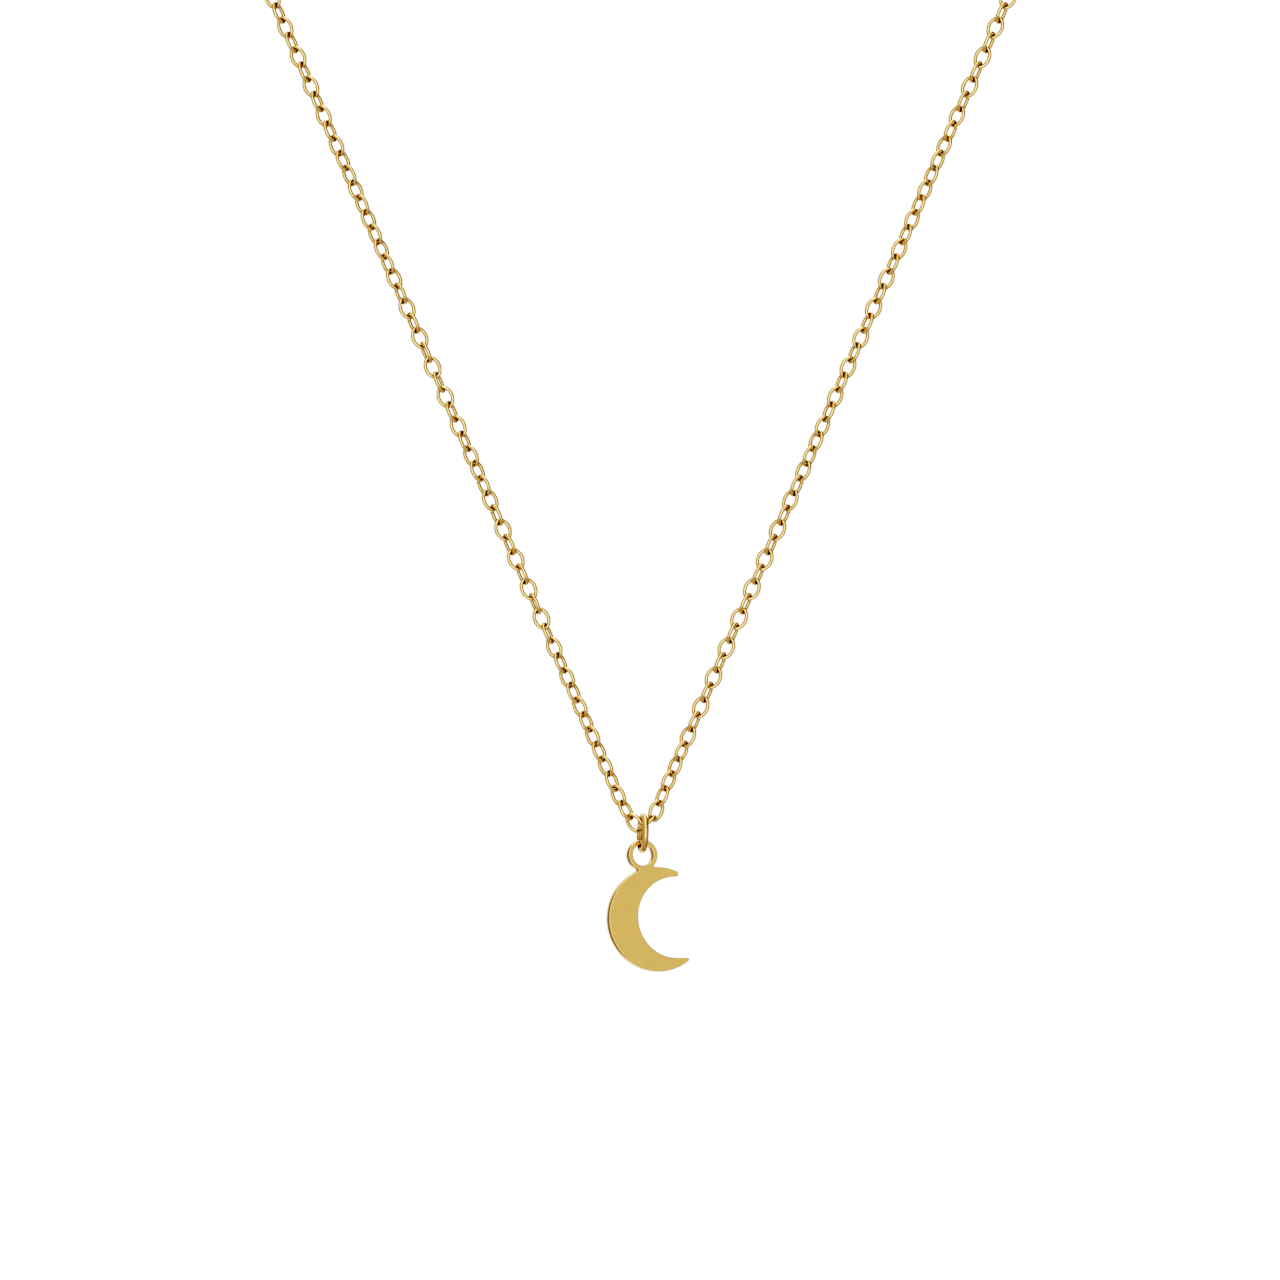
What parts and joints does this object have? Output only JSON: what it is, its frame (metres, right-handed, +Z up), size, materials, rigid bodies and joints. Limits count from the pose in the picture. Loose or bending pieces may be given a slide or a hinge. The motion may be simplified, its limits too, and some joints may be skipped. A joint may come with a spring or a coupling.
{
  "type": "pendant necklace",
  "caption": "Fine cable chain necklace hanging in a V to a jump ring with a plain crescent-moon plate; lobster clasp, extension chain and end drop at the nape.",
  "frame": {"origin": "centre of the neck opening, on the level where the two front strands pass over the shoulders, in the plane of the front V", "axes": "+Z up, +Y from the chest towards the nape, +X to the viewer's right when the necklace is seen from the front (the viewer stands at -Y)"},
  "size_m": [0.11, 0.0568, 0.1677],
  "materials": {
    "chain_gold": "polished gold plate",
    "ring_gold": "polished gold plate",
    "pendant_gold": "mirror-polished gold plate with fine wear",
    "clasp_gold": "polished gold plate",
    "spring_steel": "plain spring wire"
  },
  "bodies": {
    "nape": {"left_back_chain_1": "chain_gold", "left_back_chain_2": "chain_gold", "left_back_chain_3": "chain_gold", "right_back_chain_1": "chain_gold", "right_back_chain_2": "chain_gold", "right_back_chain_3": "chain_gold", "clasp_jump_ring": "ring_gold", "clasp_body": "clasp_gold", "clasp_rivet": "clasp_gold", "clasp_spring": "spring_steel", "extension_ring": "ring_gold"},
    "left_run_1": {"left_front_chain_1": "chain_gold"},
    "left_run_2": {"left_front_chain_2": "chain_gold"},
    "left_run_3": {"left_front_chain_3": "chain_gold"},
    "left_run_4": {"left_front_chain_4": "chain_gold"},
    "left_run_5": {"left_front_chain_5": "chain_gold"},
    "left_run_6": {"left_front_chain_6": "chain_gold"},
    "left_run_7": {"left_front_chain_7": "chain_gold"},
    "left_run_8": {"left_front_chain_8": "chain_gold", "centre_link": "chain_gold"},
    "right_run_1": {"right_front_chain_1": "chain_gold"},
    "right_run_2": {"right_front_chain_2": "chain_gold"},
    "right_run_3": {"right_front_chain_3": "chain_gold"},
    "right_run_4": {"right_front_chain_4": "chain_gold"},
    "right_run_5": {"right_front_chain_5": "chain_gold"},
    "right_run_6": {"right_front_chain_6": "chain_gold"},
    "right_run_7": {"right_front_chain_7": "chain_gold"},
    "right_run_8": {"right_front_chain_8": "chain_gold"},
    "jump_ring": {"pendant_jump_ring": "ring_gold"},
    "pendant": {"moon_pendant": "pendant_gold"},
    "lever": {"clasp_lever": "clasp_gold"},
    "extension_run_1": {"extension_chain_1": "chain_gold"},
    "extension_run_2": {"extension_chain_2": "chain_gold"},
    "extension_run_3": {"extension_chain_3": "chain_gold"},
    "extension_run_4": {"extension_chain_4": "chain_gold"},
    "drop": {"drop_ring": "ring_gold", "end_drop": "pendant_gold"}
  },
  "joints": [
    {"name": "front_swing", "type": "hinge", "parent": "nape", "child": "left_run_1", "pos_m": [-0.05175, 0, -0.00019], "axis": [1, 0, 0], "range_deg": [-45, 15]},
    {"name": "strand_bend_1", "type": "hinge", "parent": "left_run_1", "child": "left_run_2", "pos_m": [-0.03774, 0, -0.0325], "axis": [1, 0, 0], "range_deg": [-12, 12]},
    {"name": "strand_bend_2", "type": "hinge", "parent": "left_run_2", "child": "left_run_3", "pos_m": [-0.02877, 0, -0.05318], "axis": [1, 0, 0], "range_deg": [-12, 12]},
    {"name": "strand_bend_3", "type": "hinge", "parent": "left_run_3", "child": "left_run_4", "pos_m": [-0.02109, 0, -0.0709], "axis": [1, 0, 0], "range_deg": [-12, 12]},
    {"name": "strand_bend_4", "type": "hinge", "parent": "left_run_4", "child": "left_run_5", "pos_m": [-0.01468, 0, -0.08567], "axis": [1, 0, 0], "range_deg": [-12, 12]},
    {"name": "strand_bend_5", "type": "hinge", "parent": "left_run_5", "child": "left_run_6", "pos_m": [-0.00956, 0, -0.09749], "axis": [1, 0, 0], "range_deg": [-12, 12]},
    {"name": "strand_bend_6", "type": "hinge", "parent": "left_run_6", "child": "left_run_7", "pos_m": [-0.00508, 0, -0.10783], "axis": [1, 0, 0], "range_deg": [-12, 12]},
    {"name": "strand_bend_7", "type": "hinge", "parent": "left_run_7", "child": "left_run_8", "pos_m": [-0.00187, 0, -0.11522], "axis": [1, 0, 0], "range_deg": [-12, 12]},
    {"name": "front_swing_right", "type": "hinge", "parent": "nape", "child": "right_run_1", "pos_m": [0.05175, 0, -0.00019], "axis": [1, 0, 0], "range_deg": [-45, 15]},
    {"name": "strand_bend_1_right", "type": "hinge", "parent": "right_run_1", "child": "right_run_2", "pos_m": [0.03774, 0, -0.0325], "axis": [1, 0, 0], "range_deg": [-12, 12]},
    {"name": "strand_bend_2_right", "type": "hinge", "parent": "right_run_2", "child": "right_run_3", "pos_m": [0.02877, 0, -0.05318], "axis": [1, 0, 0], "range_deg": [-12, 12]},
    {"name": "strand_bend_3_right", "type": "hinge", "parent": "right_run_3", "child": "right_run_4", "pos_m": [0.02109, 0, -0.0709], "axis": [1, 0, 0], "range_deg": [-12, 12]},
    {"name": "strand_bend_4_right", "type": "hinge", "parent": "right_run_4", "child": "right_run_5", "pos_m": [0.01468, 0, -0.08567], "axis": [1, 0, 0], "range_deg": [-12, 12]},
    {"name": "strand_bend_5_right", "type": "hinge", "parent": "right_run_5", "child": "right_run_6", "pos_m": [0.00956, 0, -0.09749], "axis": [1, 0, 0], "range_deg": [-12, 12]},
    {"name": "strand_bend_6_right", "type": "hinge", "parent": "right_run_6", "child": "right_run_7", "pos_m": [0.00508, 0, -0.10783], "axis": [1, 0, 0], "range_deg": [-12, 12]},
    {"name": "strand_bend_7_right", "type": "hinge", "parent": "right_run_7", "child": "right_run_8", "pos_m": [0.00187, 0, -0.11522], "axis": [1, 0, 0], "range_deg": [-12, 12]},
    {"name": "ring_turn", "type": "hinge", "parent": "left_run_8", "child": "jump_ring", "pos_m": [0.00024, -0.00001, -0.11822], "axis": [0.9837, 0.1763, -0.036], "range_deg": [-40, 40]},
    {"name": "pendant_sway", "type": "hinge", "parent": "jump_ring", "child": "pendant", "pos_m": [0.00019, -0.00004, -0.11992], "axis": [-0.1767, 0.9842, -0.0083], "range_deg": [-30, 30]},
    {"name": "clasp_lever", "type": "hinge", "parent": "nape", "child": "lever", "pos_m": [0.0015, 0.0515, 0.03345], "axis": [0, -1, 0], "range_deg": [0, 18], "stiffness_Nm_per_rad": 0.004, "springref_deg": -8.59, "deforming": ["clasp_spring"]},
    {"name": "extension_swing", "type": "hinge", "parent": "nape", "child": "extension_run_1", "pos_m": [-0.00549, 0.0531, 0.033], "axis": [0.9397, 0.342, 0], "range_deg": [-15, 15]},
    {"name": "extension_bend_1", "type": "hinge", "parent": "extension_run_1", "child": "extension_run_2", "pos_m": [-0.00549, 0.0531, 0.02566], "axis": [0.9397, 0.342, 0], "range_deg": [-15, 15]},
    {"name": "extension_bend_2", "type": "hinge", "parent": "extension_run_2", "child": "extension_run_3", "pos_m": [-0.00549, 0.0531, 0.01545], "axis": [0.9397, 0.342, 0], "range_deg": [-15, 15]},
    {"name": "extension_bend_3", "type": "hinge", "parent": "extension_run_3", "child": "extension_run_4", "pos_m": [-0.00549, 0.0531, 0.00526], "axis": [0.9397, 0.342, 0], "range_deg": [-15, 15]},
    {"name": "end_drop_swing", "type": "hinge", "parent": "extension_run_4", "child": "drop", "pos_m": [-0.00549, 0.0531, -0.00522], "axis": [-0.342, 0.9397, 0], "range_deg": [-25, 25]}
  ],
  "couplings": [
    {"joint": "front_swing_right", "follows": "front_swing", "ratio": 1},
    {"joint": "strand_bend_1_right", "follows": "strand_bend_1", "ratio": 1},
    {"joint": "strand_bend_2_right", "follows": "strand_bend_2", "ratio": 1},
    {"joint": "strand_bend_3_right", "follows": "strand_bend_3", "ratio": 1},
    {"joint": "strand_bend_4_right", "follows": "strand_bend_4", "ratio": 1},
    {"joint": "strand_bend_5_right", "follows": "strand_bend_5", "ratio": 1},
    {"joint": "strand_bend_6_right", "follows": "strand_bend_6", "ratio": 1},
    {"joint": "strand_bend_7_right", "follows": "strand_bend_7", "ratio": 1}
  ]
}
